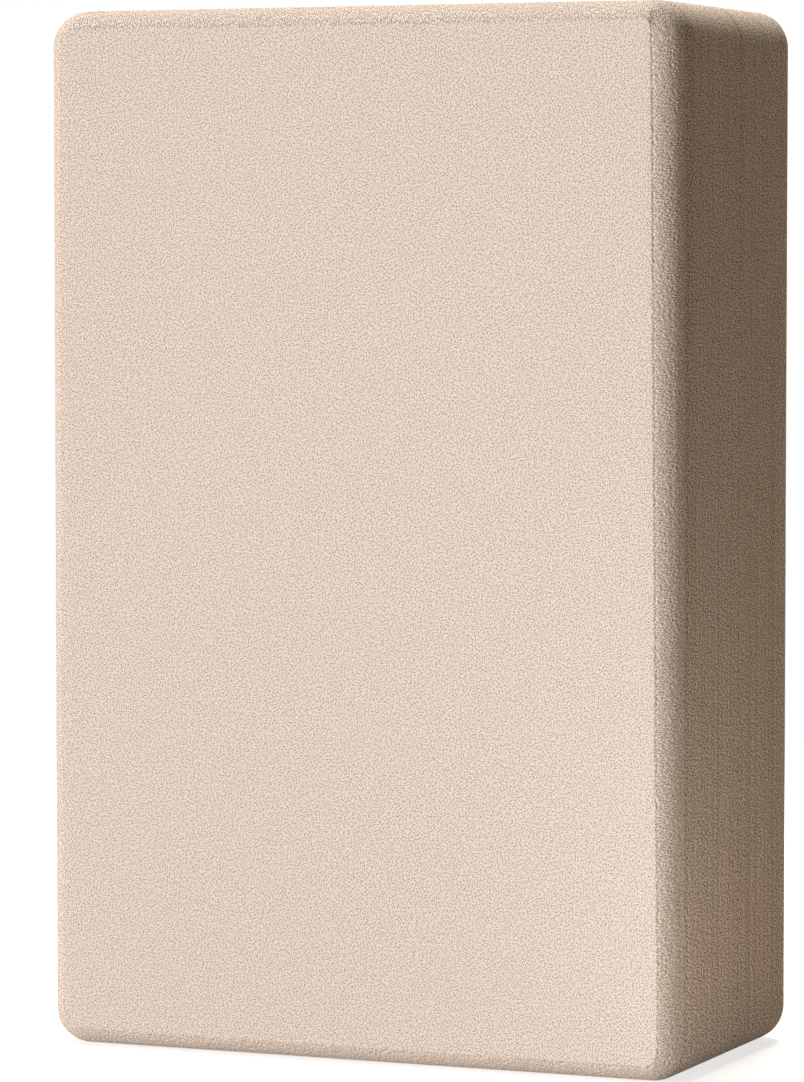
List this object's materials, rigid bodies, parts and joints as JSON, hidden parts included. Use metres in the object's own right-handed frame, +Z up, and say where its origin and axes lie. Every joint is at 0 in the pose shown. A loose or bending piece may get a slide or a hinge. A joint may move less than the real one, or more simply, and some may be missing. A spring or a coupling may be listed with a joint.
{
  "type": "yoga block",
  "caption": "Firm foam yoga block with rounded corners and a routed rim round each broad face, bonded from slabs, that props a hand or the body at several heights.",
  "frame": {"origin": "middle of the short end that the block stands on", "axes": "+Z up along the block's longest edge, +X across its width to the right seen from the front, +Y from the front broad face to the rear one"},
  "size_m": [0.15, 0.075, 0.23],
  "materials": {
    "foam": "matt sand-coloured closed-cell EVA foam, fine open grain on cut faces",
    "adhesive": "cured contact adhesive, brownish and matt at its edge"
  },
  "bodies": {
    "root": {"front_slab": "foam", "rear_slab": "foam", "glue_film": "adhesive"}
  },
  "joints": []
}
